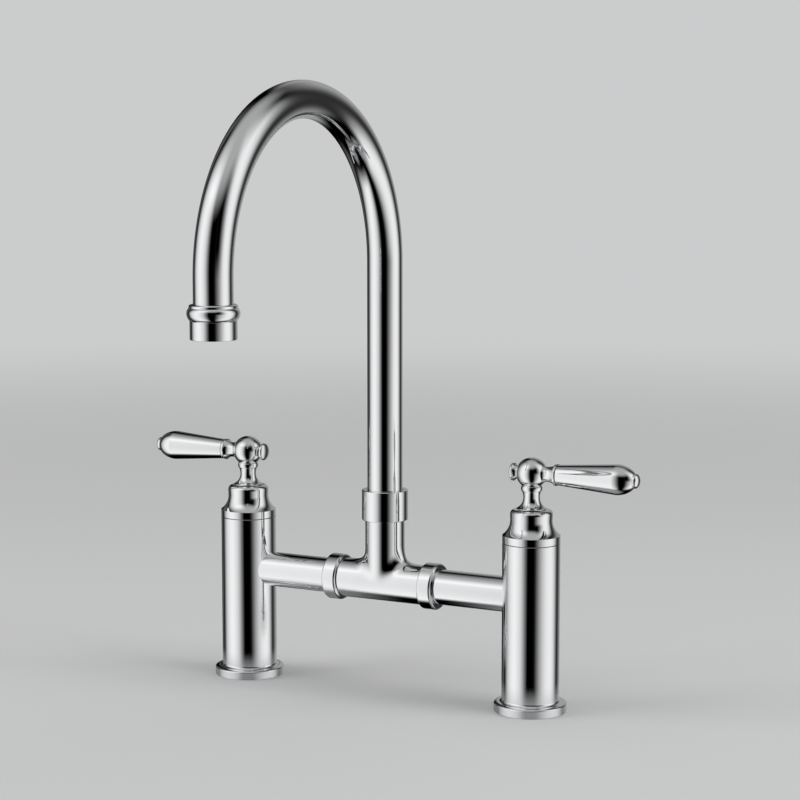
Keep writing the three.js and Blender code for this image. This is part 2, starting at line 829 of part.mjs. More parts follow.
// One pillar with its valve and handle, seen from its own axis with +X pointing outwards. back is 1
// or -1, the side of its Y axis that faces the back of the faucet.
function addSide(side, back) {
  const group = new THREE.Group();
  group.position.x = (back * holeCentres) / 2;
  group.rotation.z = back > 0 ? 0 : Math.PI;
  faucet.add(group);
  const fixedDisc = valveDisc(fixedDiscLow);
  const movingDisc = valveDisc(movingDiscLow).rotateZ(Math.PI / 2);
  const lever = new THREE.Group();
  lever.position.z = ballHeight;
  group.add(lever);
  add(group, `pillar_body_${side}`, 'chrome', pillarBody());
  add(group, `base_gasket_${side}`, 'rubber', baseGasket());
  add(group, `cartridge_body_${side}`, 'brass', cartridgeBody());
  add(group, `cartridge_seal_${side}`, 'rubber', cartridgeSeal());
  add(group, `cartridge_oring_${side}`, 'rubber', cartridgeRing());
  add(group, `fixed_disc_${side}`, 'ceramic', fixedDisc);
  add(group, `moving_disc_${side}`, 'ceramic', movingDisc);
  add(group, `spindle_${side}`, 'brass', spindle());
  add(group, `spindle_oring_${side}`, 'rubber', spindleRing());
  add(group, `spindle_circlip_${side}`, 'steel', spindleClip());
  add(group, `bonnet_${side}`, 'chrome', bonnet());
  add(group, `handle_hub_${side}`, 'chrome', handleHub(back));
  add(group, `hub_grub_screw_${side}`, 'steel', grubScrew(back));
  add(lever, `lever_shaft_${side}`, 'steel', leverShaft());
  add(lever, `lever_ferrule_${side}`, 'chrome', leverFerrule());
  add(lever, `lever_grip_${side}`, 'chrome', leverGrip());
  add(lever, `lever_end_button_${side}`, 'chrome', leverButton());
  add(lever, `finial_${side}`, 'chrome', finial());
}

function addArm(side, turn) {
  const group = new THREE.Group();
  group.position.z = bridgeHeight;
  group.rotation.z = turn;
  faucet.add(group);
  add(group, `bridge_tube_${side}`, 'chrome', bridgeTube());
  const nut = collarNut(unionRadius, unionEdge, unionStart, unionEnd, unionLip);
  add(group, `union_nut_${side}`, 'chrome', alongX(nut));
  add(group, `union_washer_${side}`, 'rubber', unionWasher());
}

addSide('right', 1);
addSide('left', -1);
addArm('right', 0);
addArm('left', Math.PI);
add(faucet, 'tee_body', 'chrome', teeBody());
add(faucet, 'spout_nut', 'chrome', collarNut(nutRadius, nutEdge, nutLow, nutTop, nutLip));
add(faucet, 'swivel_bush', 'plastic', ring(tubeRadius + fit, teeRadius, spoutLow, bushTop));

const spout = new THREE.Group();
faucet.add(spout);
add(spout, 'spout_spigot', 'brass', spoutSpigot());
add(spout, 'spigot_oring_lower', 'rubber', spigotRing(spigotRings[0]));
add(spout, 'spigot_oring_upper', 'rubber', spigotRing(spigotRings[1]));
add(spout, 'spout_tube', 'chrome', spoutTube());

const outlet = new THREE.Group();
outlet.position.y = -2 * archRadius;
spout.add(outlet);
add(outlet, 'outlet_collar', 'chrome', outletCollar());
add(outlet, 'aerator_housing', 'chrome', aeratorHousing());
const washerInner = tubeRadius - spoutWall - fit;
add(outlet, 'aerator_washer', 'rubber', ring(washerInner, tubeRadius, washerLow, spoutEnd - seam));
add(outlet, 'aerator_insert', 'plastic', aeratorInsert());
add(outlet, 'aerator_screen', 'steel', aeratorScreen());

export default faucet;
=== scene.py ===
import math

import bmesh
import bpy
from mathutils import Matrix, Vector
from mathutils.geometry import interpolate_bezier


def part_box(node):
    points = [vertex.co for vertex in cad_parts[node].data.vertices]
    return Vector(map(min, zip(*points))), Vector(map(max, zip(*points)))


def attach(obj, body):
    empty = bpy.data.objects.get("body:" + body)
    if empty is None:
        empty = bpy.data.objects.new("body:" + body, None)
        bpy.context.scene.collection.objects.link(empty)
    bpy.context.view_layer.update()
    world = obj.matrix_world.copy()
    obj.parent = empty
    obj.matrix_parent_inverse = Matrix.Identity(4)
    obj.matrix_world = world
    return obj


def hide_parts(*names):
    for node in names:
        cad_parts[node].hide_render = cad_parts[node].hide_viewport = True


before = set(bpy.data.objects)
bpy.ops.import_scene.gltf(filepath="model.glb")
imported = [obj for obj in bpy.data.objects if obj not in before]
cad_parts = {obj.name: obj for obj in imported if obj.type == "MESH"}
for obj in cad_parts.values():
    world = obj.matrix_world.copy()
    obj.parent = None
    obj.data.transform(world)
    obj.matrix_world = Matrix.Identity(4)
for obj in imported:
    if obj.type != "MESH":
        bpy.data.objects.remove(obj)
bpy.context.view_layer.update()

# A bridge kitchen faucet in polished chrome, in the order in which it is put together. Metres, +Z up:
# the bridge runs along X, the spout reaches towards -Y, and the feet stand at a height of nought.


# ---- Studio ----
# A pale floor under a pale sky. Round the faucet is a glowing sphere that only the chrome sees and
# that lights nothing. It paints the reflection of two tall soft lights, with a dark gap between them
# behind the camera, because polished chrome shows little but what stands round it.

def linked(name, mesh):
    """A new object that holds a finished mesh, in the scene."""
    made = bpy.data.meshes.new(name)
    mesh.to_mesh(made)
    mesh.free()
    thing = bpy.data.objects.new(name, made)
    bpy.context.scene.collection.objects.link(thing)
    return thing


def new_material(name):
    """A node material whose tree is still empty."""
    material = bpy.data.materials.new(name)
    material.use_nodes = True
    material.node_tree.nodes.clear()
    return material


def node_in(tree, kind, **settings):
    """A node of one kind in a tree, with its own settings."""
    node = tree.nodes.new(kind)
    for name, value in settings.items():
        setattr(node, name, value)
    return node


sky_colour = (0.6, 0.603, 0.608, 1)
floor_colour = (0.64, 0.642, 0.645, 1)
floor_steps = 96  # corners round its edge
near_floor_radius = 0.45  # the part of the floor that the chrome mirrors
far_floor_radius = 9.0
fade_start = 0.5  # the floor melts into the sky between these distances
fade_end = 2.6
mirrored_share = 0.5  # how much of the floor the chrome mirrors round the feet
mirror_start = 0.035  # and between which distances from a foot's middle that share fades out
mirror_end = 0.09
foot_place = (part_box("pillar_body_right")[0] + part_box("pillar_body_right")[1]) / 2
merge_distance = 1e-6  # corners that are closer than this become one


def floor_material():
    """Pale matt board: it melts into the sky, the chrome mirrors it only faintly, and it is clear from
    below.
    """
    material = new_material("pale_floor")
    tree = material.node_tree
    link = tree.links.new
    place = node_in(tree, "ShaderNodeTexCoord")
    reach = node_in(tree, "ShaderNodeVectorMath", operation="LENGTH")
    fade = node_in(tree, "ShaderNodeMapRange", interpolation_type="SMOOTHSTEP")
    fade.inputs["From Min"].default_value = fade_start
    fade.inputs["From Max"].default_value = fade_end
    matt = node_in(tree, "ShaderNodeBsdfDiffuse")
    matt.inputs["Color"].default_value = floor_colour
    distant = node_in(tree, "ShaderNodeEmission")
    distant.inputs["Color"].default_value = sky_colour
    melted = node_in(tree, "ShaderNodeMixShader")
    link(place.outputs["Object"], reach.inputs[0])
    link(reach.outputs["Value"], fade.inputs["Value"])
    link(fade.outputs["Result"], melted.inputs["Fac"])
    link(matt.outputs["BSDF"], melted.inputs[1])
    link(distant.outputs["Emission"], melted.inputs[2])

    # The chrome mirrors it near the feet alone, and there only in part. Elsewhere the chrome sees
    # through it to the painted reflection below, which is dark straight down: painted shade on the
    # chrome's undersides.
    nearest = node_in(tree, "ShaderNodeMath", operation="MINIMUM")
    for socket, way in zip(nearest.inputs, (-1, 1)):
        from_foot = node_in(tree, "ShaderNodeVectorMath", operation="DISTANCE")
        from_foot.inputs[1].default_value = (way * foot_place.x, foot_place.y, 0)
        link(place.outputs["Object"], from_foot.inputs[0])
        link(from_foot.outputs["Value"], socket)
    faint = node_in(tree, "ShaderNodeMapRange", interpolation_type="SMOOTHSTEP")
    faint.inputs["From Min"].default_value = mirror_start
    faint.inputs["From Max"].default_value = mirror_end
    faint.inputs["To Min"].default_value = mirrored_share
    faint.inputs["To Max"].default_value = 0
    ray = node_in(tree, "ShaderNodeLightPath")
    presence = node_in(tree, "ShaderNodeMix", data_type="FLOAT")
    presence.inputs["A"].default_value = 1
    link(nearest.outputs[0], faint.inputs["Value"])
    link(ray.outputs["Is Glossy Ray"], presence.inputs["Factor"])
    link(faint.outputs["Result"], presence.inputs["B"])

    # A ray that comes from below passes through.
    facing = node_in(tree, "ShaderNodeNewGeometry")
    top_side = node_in(tree, "ShaderNodeMath", operation="SUBTRACT")
    top_side.inputs[0].default_value = 1
    share = node_in(tree, "ShaderNodeMath", operation="MULTIPLY")
    clear = node_in(tree, "ShaderNodeBsdfTransparent")
    shown = node_in(tree, "ShaderNodeMixShader")
    output = node_in(tree, "ShaderNodeOutputMaterial")
    link(facing.outputs["Backfacing"], top_side.inputs[1])
    link(presence.outputs["Result"], share.inputs[0])
    link(top_side.outputs[0], share.inputs[1])
    link(share.outputs[0], shown.inputs["Fac"])
    link(clear.outputs["BSDF"], shown.inputs[1])
    link(melted.outputs["Shader"], shown.inputs[2])
    link(shown.outputs["Shader"], output.inputs["Surface"])
    return material


def floor_part(name, inner, outer, material):
    """A flat ring of floor, or a disc where the inner radius is nought."""
    mesh = bmesh.new()
    start = mesh.verts.new((inner, 0, 0))
    end = mesh.verts.new((outer, 0, 0))
    edge = mesh.edges.new((start, end))
    bmesh.ops.spin(mesh, geom=[start, end, edge], cent=(0, 0, 0), axis=(0, 0, 1),
                   angle=2 * math.pi, steps=floor_steps, use_merge=True)
    bmesh.ops.remove_doubles(mesh, verts=mesh.verts, dist=merge_distance)
    mesh.normal_update()
    bmesh.ops.reverse_faces(mesh, faces=[face for face in mesh.faces if face.normal.z < 0])
    part = linked(name, mesh)
    part.data.materials.append(material)
    return part


board = floor_material()
floor_part("near_floor", 0, near_floor_radius, board)
far_floor = floor_part("far_floor", near_floor_radius, far_floor_radius, board)
far_floor.visible_glossy = False

tent_radius = 12.0
tent_steps = 48  # from its top to its bottom, and twice as many round it
gap_heading = math.radians(-64)  # where the dark gap lies, seen from the faucet
wall_levels = [  # degrees to the right of the gap's heading, and how bright the painted reflection is there
    (-180, 0.36), (-171, 0.06), (-160, 0), (-150, 0.06), (-141, 0.1), (-131, 0.02), (-122, 0.06),
    (-112, 0.34), (-103, 0.62), (-90, 0.84), (-70, 0.97), (-52, 0.82), (-41, 0.64), (-29, 0.29),
    (-18, 0.04), (-10, 0), (8, 0), (18, 0.06), (30, 0.29), (42, 0.54), (56, 0.78), (76, 0.92),
    (90, 0.86), (102, 0.6), (114, 0.18), (124, 0.03), (138, 0.14), (154, 0.32), (180, 0.36),
]
overhead_level = 0.42
painted_dark_band_heading = 26  # a dark band is painted into the reflection in the gap, this far to the right of its heading
painted_dark_band_core = 2  # degrees to either side of its middle where it starts to fade, and where it ends
painted_dark_band_reach = 44
painted_dark_band_low = math.sin(math.radians(-14))  # and between which heights it fades in, seen from the faucet
painted_dark_band_high = math.sin(math.radians(12))


def leaning(degrees, way, beside=0):
    """A direction up or down that leans by an angle towards the gap, or so far beside it."""
    lean = math.radians(degrees)
    out, heading = math.sin(lean), gap_heading + math.radians(beside)
    return Vector((out * math.cos(heading), out * math.sin(heading), way * math.cos(lean)))


wall_top = (leaning(-8, 1), 0.56, 0.99)  # a direction, and where the painted reflection changes on the way to it
wall_foot = (leaning(-20, -1), 0.66, 0.89)
overhead = (leaning(11, 1, beside=-20), 0.62, 0.96)


def painted_reflection_material():
    """Painted reflection, a glow that only the chrome sees and that lights nothing: bright at both
    sides, dark between, dimmer overhead.
    """
    material = new_material("painted_reflection_tent")
    tree = material.node_tree
    link = tree.links.new
    place = node_in(tree, "ShaderNodeTexCoord")
    heading = node_in(tree, "ShaderNodeVectorMath", operation="NORMALIZE")
    link(place.outputs["Object"], heading.inputs[0])

    def changed(value, start, end, low, high):
        """Passes softly from one level to another while a value goes from start to end."""
        step = node_in(tree, "ShaderNodeMapRange", interpolation_type="SMOOTHSTEP")
        ends = {"From Min": start, "From Max": end, "To Min": low, "To Max": high}
        for name, number in ends.items():
            step.inputs[name].default_value = number
        link(value, step.inputs["Value"])
        return step.outputs["Result"]

    def result_of(operation, *values):
        """What one sum makes of numbers and of other nodes' results."""
        step = node_in(tree, "ShaderNodeMath", operation=operation)
        for socket, value in zip(step.inputs, values):
            if isinstance(value, (int, float)):
                socket.default_value = value
            else:
                link(value, socket)
        return step.outputs[0]

    def towards(direction, start, end, low, high):
        """The same, as the heading comes round to a direction."""
        along = node_in(tree, "ShaderNodeVectorMath", operation="DOT_PRODUCT")
        link(heading.outputs["Vector"], along.inputs[0])
        along.inputs[1].default_value = direction
        return changed(along.outputs["Value"], start, end, low, high)

    turn = node_in(tree, "ShaderNodeVectorRotate", rotation_type="Z_AXIS")
    turn.inputs["Angle"].default_value = -gap_heading
    link(heading.outputs["Vector"], turn.inputs["Vector"])
    parts = node_in(tree, "ShaderNodeSeparateXYZ")
    link(turn.outputs["Vector"], parts.inputs[0])
    angle = result_of("ARCTAN2", parts.outputs["Y"], parts.outputs["X"])
    round_share = result_of("MULTIPLY_ADD", angle, 0.5 / math.pi, 0.5)
    walls = node_in(tree, "ShaderNodeValToRGB")
    ramp = walls.color_ramp
    ramp.interpolation = "CARDINAL"
    while len(ramp.elements) < len(wall_levels):
        ramp.elements.new(1.0)
    for element, (degrees, level) in zip(ramp.elements, wall_levels):
        element.position = degrees / 360 + 0.5
        element.color = (level, level, level, 1)
    link(round_share, walls.inputs["Fac"])

    # Painted dark band: the reflection's glow is darkened here, and no card stands there.
    dark_band_side = result_of("SUBTRACT", round_share, painted_dark_band_heading / 360 + 0.5)
    from_dark_band = result_of("ABSOLUTE", dark_band_side)
    beside = changed(from_dark_band, painted_dark_band_core / 360, painted_dark_band_reach / 360, 1, 0)
    above = changed(parts.outputs["Z"], painted_dark_band_low, painted_dark_band_high, 0, 1)
    outside_dark_band = result_of("SUBTRACT", 1, result_of("MULTIPLY", beside, above))
    ends = result_of("MULTIPLY", towards(*wall_top, 1, 0), towards(*wall_foot, 1, 0))
    open_share = result_of("MULTIPLY", outside_dark_band, ends)
    wall = result_of("MULTIPLY", walls.outputs["Color"], open_share)
    level = result_of("ADD", wall, towards(*overhead, 0, overhead_level))
    glow = node_in(tree, "ShaderNodeEmission")
    output = node_in(tree, "ShaderNodeOutputMaterial")
    link(level, glow.inputs["Color"])
    link(glow.outputs["Emission"], output.inputs["Surface"])
    return material


# A sphere round the faucet that only the chrome sees: its glow is painted reflection and lights
# nothing.
tent = bmesh.new()
bmesh.ops.create_uvsphere(tent, u_segments=2 * tent_steps, v_segments=tent_steps, radius=tent_radius)
tent = linked("painted_reflection_tent", tent)
tent.data.materials.append(painted_reflection_material())
tent.visible_camera = False
tent.visible_diffuse = False
tent.visible_transmission = False
tent.visible_shadow = False

sky_light = 0.55  # how much the sky lights the floor
lit_place = Vector((0, 0, 0.15))  # what the lights point at


def sky():
    """Pale sky, which the camera and every mirror see as it is, and which lights the rest less."""
    world = bpy.data.worlds.new("pale_sky")
    bpy.context.scene.world = world
    world.use_nodes = True
    tree = world.node_tree
    tree.nodes.clear()
    ray = node_in(tree, "ShaderNodeLightPath")
    seen = node_in(tree, "ShaderNodeMath", operation="MAXIMUM")
    mirrored = node_in(tree, "ShaderNodeMath", operation="MAXIMUM")
    strength = node_in(tree, "ShaderNodeMapRange")
    strength.inputs["To Min"].default_value = sky_light
    back = node_in(tree, "ShaderNodeBackground")
    back.inputs["Color"].default_value = sky_colour
    output = node_in(tree, "ShaderNodeOutputWorld")
    tree.links.new(ray.outputs["Is Camera Ray"], seen.inputs[0])
    tree.links.new(ray.outputs["Is Glossy Ray"], mirrored.inputs[0])
    tree.links.new(ray.outputs["Is Transmission Ray"], mirrored.inputs[1])
    tree.links.new(mirrored.outputs[0], seen.inputs[1])
    tree.links.new(seen.outputs[0], strength.inputs["Value"])
    tree.links.new(strength.outputs["Result"], back.inputs["Strength"])
    tree.links.new(back.outputs["Background"], output.inputs["Surface"])


def soft_light(name, place, size, power):
    """A square soft light that faces the faucet."""
    light = bpy.data.lights.new(name, "AREA")
    light.size = size
    light.energy = power
    lamp = bpy.data.objects.new(name, light)
    lamp.location = place
    lamp.rotation_euler = (lit_place - Vector(place)).to_track_quat("-Z", "Y").to_euler()
    lamp.visible_glossy = False
    bpy.context.scene.collection.objects.link(lamp)


sky()
soft_light("left_light", (-1.7, -1.1, 1.5), size=1.4, power=18)
soft_light("right_light", (1.9, 0.3, 1.5), size=1.4, power=18)
soft_light("top_light", (0.2, 0.1, 2.4), size=1.8, power=16)

# The camera stands in front, to the right and a little above, and looks slightly down.
camera_place = (0.631434, -1.079335, 0.349088)
camera_turn = 0.486389
camera_dip = 0.120945
camera_lens = 96.02  # both in millimetres
camera_sensor = 36

lens = bpy.data.cameras.new("camera")
lens.lens = camera_lens
lens.sensor_width = camera_sensor
lens.clip_start = 0.01
lens.clip_end = 100
camera = bpy.data.objects.new("camera", lens)
camera.location = camera_place
camera.rotation_euler = (math.pi / 2 - camera_dip, 0, camera_turn)
bpy.context.scene.collection.objects.link(camera)
bpy.context.scene.camera = camera
bpy.context.scene.view_settings.view_transform = "Standard"


# ---- Pillars ----
# Two cast brass columns, turned, polished and chromed. Each widens into a round foot that sits on the
# deck over its gasket, with a socket for the supply tail below and the valve chamber above.

round_steps = 128  # faces round a turned piece
arc_step = math.radians(3)
least_arc_steps = 4
corner_steps = 8
on_axis = 1e-7  # an outline that ends closer to the axis than this ends on it
crisp_angle = math.radians(35)  # an edge sharper than this stays crisp


class Turning:
    """Half the outline of a turned piece, a wire drawn as (radius, height) and then spun round Z."""

    def __init__(self, radius, height):
        self.mesh = bmesh.new()
        self.first = self.tip = self.mesh.verts.new((radius, 0, height))
        self.corners = []

    def line(self, radius, height, corner=0):
        """Straight on to a point, whose corner is rounded later by that much."""
        self.tip = bmesh.ops.extrude_vert_indiv(self.mesh, verts=[self.tip])["verts"][0]
        self.tip.co = (radius, 0, height)
        if corner:
            self.corners.append((self.tip, corner))
        return self

    def lines(self, *points):
        """Straight on from point to point."""
        for point in points:
            self.line(*point)
        return self

    def arc(self, centre_radius, centre_height, angle):
        """Round a centre by an angle, anticlockwise where it is positive."""
        steps = max(least_arc_steps, round(abs(angle) / arc_step))
        made = bmesh.ops.spin(self.mesh, geom=[self.tip], cent=(centre_radius, 0, centre_height),
                              axis=(0, -1, 0), angle=angle, steps=steps)
        self.tip = made["geom_last"][0]
        return self

    def oval_arc(self, centre, angle, scale):
        """An arc that is scaled about its centre, and so is part of an ellipse."""
        before = set(self.mesh.verts)
        self.arc(centre.x, centre.z, angle)
        new = [v for v in self.mesh.verts if v not in before]
        bmesh.ops.scale(self.mesh, verts=new, vec=scale, space=Matrix.Translation(-centre))
        return self

    @staticmethod
    def upright_bend(across, rise):
        """The radius and the angle of an arc that spans this and is upright at one end."""
        bend = (across ** 2 + rise ** 2) / (2 * across)
        turn = math.atan2(rise, (bend - across) * math.copysign(1, bend))
        return bend, -math.copysign(turn, bend)

    def arc_to_upright(self, radius, height):
        """An arc that ends upright at a point."""
        bend, turn = self.upright_bend(self.tip.co.x - radius, height - self.tip.co.z)
        return self.arc(radius + bend, height, turn)

    def arc_from_upright(self, radius, height):
        """An arc that leaves upright and ends at a point."""
        bend, turn = self.upright_bend(radius - self.tip.co.x, height - self.tip.co.z)
        return self.arc(self.tip.co.x + bend, self.tip.co.z, turn)

    def dome(self, width, height, turn=math.pi / 2):
        """Part of an ellipse, from an upright side inwards: a quarter of it ends in a level top."""
        centre = Vector((self.tip.co.x - width, 0, self.tip.co.z))
        return self.oval_arc(centre, turn, (1, 1, height / (width * math.sin(turn))))

    def spun(self):
        """Rounds the corners, closes the outline unless it ends on the axis, and spins it."""
        if self.first.co.x > on_axis or self.tip.co.x > on_axis:
            bmesh.ops.contextual_create(self.mesh, geom=[self.tip, self.first])
        for corner, size in self.corners:
            bmesh.ops.bevel(self.mesh, geom=[corner], offset=size, offset_type="OFFSET",
                            segments=corner_steps, profile=0.5, affect="VERTICES", material=-1)
        wire = self.mesh.verts[:] + self.mesh.edges[:]
        bmesh.ops.spin(self.mesh, geom=wire, cent=(0, 0, 0), axis=(0, 0, 1),
                       angle=2 * math.pi, steps=round_steps, use_merge=True)
        bmesh.ops.remove_doubles(self.mesh, verts=self.mesh.verts, dist=merge_distance)
        return self.mesh


def swung(mesh, angle, axis):
    """Swings a mesh about an axis through the origin."""
    bmesh.ops.rotate(mesh, verts=mesh.verts, cent=(0, 0, 0), matrix=Matrix.Rotation(angle, 3, axis))
    return mesh


def along_x(mesh):
    """Lays a piece that was turned round Z along the X axis."""
    return swung(mesh, math.pi / 2, "Y")


def placed(mesh, place, half_turn=False):
    """Moves a mesh to its place, and turns it round first if it faces the other way."""
    if half_turn:
        swung(mesh, math.pi, "Z")
    bmesh.ops.translate(mesh, verts=mesh.verts, vec=place)
    return mesh


def fitted(mesh, name, material, slot, body, *nodes):
    """A finished piece: faces out, smooth but for its crisp corners, riding on its body."""
    bmesh.ops.recalc_face_normals(mesh, faces=mesh.faces)
    piece = shaded(linked(name, mesh), material, slot, body, *nodes)
    even = piece.modifiers.new("even_shading", "WEIGHTED_NORMAL")
    even.keep_sharp = True
    return piece


def shaded(piece, material, slot, body, *nodes):
    """Gives a piece smooth faces, its material and its place among the bodies."""
    mesh = bmesh.new()
    mesh.from_mesh(piece.data)
    for face in mesh.faces:
        face.smooth = True
    for edge in mesh.edges:
        edge.smooth = len(edge.link_faces) == 2 and edge.calc_face_angle() < crisp_angle
    mesh.to_mesh(piece.data)
    mesh.free()
    piece.data.materials.append(material)
    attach(piece, body)
    if nodes:
        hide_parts(*nodes)
    return piece


haze_scale = 60
haze_detail = 3
haze_low = 0.3  # the noise that gives the smoothest chrome, and the noise that gives the roughest
haze_high = 0.7
hairline_detail = 2


def polish_group():
    """The marks that polishing leaves: a faint haze and hairlines, as a roughness and a height."""
    group = bpy.data.node_groups.new("polish_marks", "ShaderNodeTree")
    new_socket = group.interface.new_socket
    new_socket("Position", in_out="INPUT", socket_type="NodeSocketVector")
    new_socket("Smoothest", in_out="INPUT", socket_type="NodeSocketFloat")
    new_socket("Roughest", in_out="INPUT", socket_type="NodeSocketFloat")
    new_socket("Grain", in_out="INPUT", socket_type="NodeSocketFloat")
    new_socket("Roughness", in_out="OUTPUT", socket_type="NodeSocketFloat")
    new_socket("Height", in_out="OUTPUT", socket_type="NodeSocketFloat")
    given = node_in(group, "NodeGroupInput")
    result = node_in(group, "NodeGroupOutput")
    haze = node_in(group, "ShaderNodeTexNoise")
    haze.inputs["Scale"].default_value = haze_scale
    haze.inputs["Detail"].default_value = haze_detail
    hair = node_in(group, "ShaderNodeTexNoise")
    hair.inputs["Detail"].default_value = hairline_detail
    spread = node_in(group, "ShaderNodeMapRange")
    spread.inputs["From Min"].default_value = haze_low
    spread.inputs["From Max"].default_value = haze_high
    link = group.links.new
    link(given.outputs["Position"], haze.inputs["Vector"])
    link(given.outputs["Position"], hair.inputs["Vector"])
    link(given.outputs["Grain"], hair.inputs["Scale"])
    link(haze.outputs["Fac"], spread.inputs["Value"])
    link(given.outputs["Smoothest"], spread.inputs["To Min"])
    link(given.outputs["Roughest"], spread.inputs["To Max"])
    link(spread.outputs["Result"], result.inputs["Roughness"])
    link(hair.outputs["Fac"], result.inputs["Height"])
    return group


polish = polish_group()
patch_scale = 25
mark_depth = 0.00002


def metal(name, colour, tint, smoothest, roughest, grain, marks):
    """A metal whose colour wanders a little between two tones, with the marks of its polishing."""
    material = new_material(name)
    tree = material.node_tree
    place = node_in(tree, "ShaderNodeTexCoord")
    marked = node_in(tree, "ShaderNodeGroup", node_tree=polish)
    marked.inputs["Smoothest"].default_value = smoothest
    marked.inputs["Roughest"].default_value = roughest
    marked.inputs["Grain"].default_value = grain
    patches = node_in(tree, "ShaderNodeTexNoise")
    patches.inputs["Scale"].default_value = patch_scale
    tone = node_in(tree, "ShaderNodeMix", data_type="RGBA")
    tone.inputs["A"].default_value = colour
    tone.inputs["B"].default_value = tint
    bump = node_in(tree, "ShaderNodeBump")
    bump.inputs["Strength"].default_value = marks
    bump.inputs["Distance"].default_value = mark_depth
    surface = node_in(tree, "ShaderNodeBsdfPrincipled")
    surface.inputs["Metallic"].default_value = 1
    output = node_in(tree, "ShaderNodeOutputMaterial")
    link = tree.links.new
    link(place.outputs["Object"], marked.inputs["Position"])
    link(place.outputs["Object"], patches.inputs["Vector"])
    link(patches.outputs["Fac"], tone.inputs["Factor"])
    link(tone.outputs["Result"], surface.inputs["Base Color"])
    link(marked.outputs["Roughness"], surface.inputs["Roughness"])
    link(marked.outputs["Height"], bump.inputs["Height"])
    link(bump.outputs["Normal"], surface.inputs["Normal"])
    link(surface.outputs["BSDF"], output.inputs["Surface"])
    return material


chrome = metal("polished_chrome", (0.9, 0.905, 0.912, 1), (0.87, 0.877, 0.887, 1),
               smoothest=0.035, roughest=0.07, grain=900, marks=0.15)

foot_low, foot_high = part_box("pillar_body_left")
foot_radius = (foot_high.x - foot_low.x) / 2
pillar_top = foot_high.z
pillar_radius = 0.0178
foot_rim = 0.0046
foot_crown = 0.0014
foot_fillet = 0.0016
foot_corner = 0.0003
rim_corner = 0.00025  # on the pillar's top and on the bonnet's rim
socket_radius = 0.0104
socket_depth = 0.018
waterway_radius = 0.0065
chamber_radius = 0.0105
seat_height = 0.058
gasket_low, gasket_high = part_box("base_gasket_left")
gasket_play = 0.00025
gasket_width = 0.0038
gasket_room = 0.0003
gasket_outer = (gasket_high.x - gasket_low.x) / 2 + gasket_play
gasket_inner = gasket_outer - gasket_width
gasket_depth = gasket_high.z + gasket_room

sides = {"left": -1, "right": 1}
pillar_axis = {}
for side in sides:
    low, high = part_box(f"pillar_body_{side}")
    pillar_axis[side] = Vector(((low.x + high.x) / 2, (low.y + high.y) / 2, 0))
    pillar = Turning(socket_radius, 0)
    pillar.lines((gasket_inner, 0), (gasket_inner, gasket_depth), (gasket_outer, gasket_depth))
    pillar.line(gasket_outer, 0)
    pillar.line(foot_radius, 0, corner=foot_corner)
    pillar.line(foot_radius, foot_rim)
    pillar.dome(foot_radius - pillar_radius - foot_fillet, foot_crown)
    pillar.arc_to_upright(pillar_radius, foot_rim + foot_crown + foot_fillet)
    pillar.line(pillar_radius, pillar_top, corner=rim_corner)
    pillar.lines((chamber_radius, pillar_top), (chamber_radius, seat_height))
    pillar.lines((waterway_radius, seat_height), (waterway_radius, socket_depth))
    pillar.line(socket_radius, socket_depth)
    fitted(placed(pillar.spun(), pillar_axis[side]), f"pillar_{side}", chrome, "chrome", "body",
           f"pillar_body_{side}")


# ---- Valve cartridges, seals and gaskets ----
# Quarter-turn cartridges of machined brass, each with two ceramic discs and a steel circlip, and
# rings and seals of black rubber. They sit inside the pillars and bonnets and keep their shapes.

brass = metal("machined_brass", (0.78, 0.6, 0.3, 1), (0.7, 0.52, 0.25, 1),
              smoothest=0.22, roughest=0.38, grain=2500, marks=0.5)
steel = metal("stainless_steel", (0.68, 0.69, 0.7, 1), (0.6, 0.61, 0.62, 1),
              smoothest=0.2, roughest=0.34, grain=2500, marks=0.4)

fine_detail = 4
fine_marks = 0.4
wear = 0.15  # how far the roughness wanders to either side


def moulded(name, colour, tint, roughness, grain, depth):
    """A moulded or pressed material, fine-grained, whose colour wanders between two tones."""
    material = new_material(name)
    tree = material.node_tree
    place = node_in(tree, "ShaderNodeTexCoord")
    fine = node_in(tree, "ShaderNodeTexNoise")
    fine.inputs["Scale"].default_value = grain
    fine.inputs["Detail"].default_value = fine_detail
    tone = node_in(tree, "ShaderNodeMix", data_type="RGBA")
    tone.inputs["A"].default_value = colour
    tone.inputs["B"].default_value = tint
    worn = node_in(tree, "ShaderNodeMapRange")
    worn.inputs["To Min"].default_value = roughness * (1 - wear)
    worn.inputs["To Max"].default_value = roughness * (1 + wear)
    bump = node_in(tree, "ShaderNodeBump")
    bump.inputs["Strength"].default_value = fine_marks
    bump.inputs["Distance"].default_value = depth
    surface = node_in(tree, "ShaderNodeBsdfPrincipled")
    output = node_in(tree, "ShaderNodeOutputMaterial")
    link = tree.links.new
    link(place.outputs["Object"], fine.inputs["Vector"])
    link(fine.outputs["Fac"], tone.inputs["Factor"])
    link(fine.outputs["Fac"], worn.inputs["Value"])
    link(fine.outputs["Fac"], bump.inputs["Height"])
    link(tone.outputs["Result"], surface.inputs["Base Color"])
    link(worn.outputs["Result"], surface.inputs["Roughness"])
    link(bump.outputs["Normal"], surface.inputs["Normal"])
    link(surface.outputs["BSDF"], output.inputs["Surface"])
    return material


rubber = moulded("black_rubber", (0.022, 0.022, 0.023, 1), (0.035, 0.034, 0.033, 1),
                 roughness=0.75, grain=1800, depth=0.0001)
ceramic = moulded("white_ceramic", (0.86, 0.85, 0.82, 1), (0.8, 0.79, 0.77, 1),
                  roughness=0.22, grain=3000, depth=0.00002)
plastic = moulded("white_plastic", (0.8, 0.8, 0.78, 1), (0.74, 0.74, 0.72, 1),
                  roughness=0.45, grain=2200, depth=0.00005)


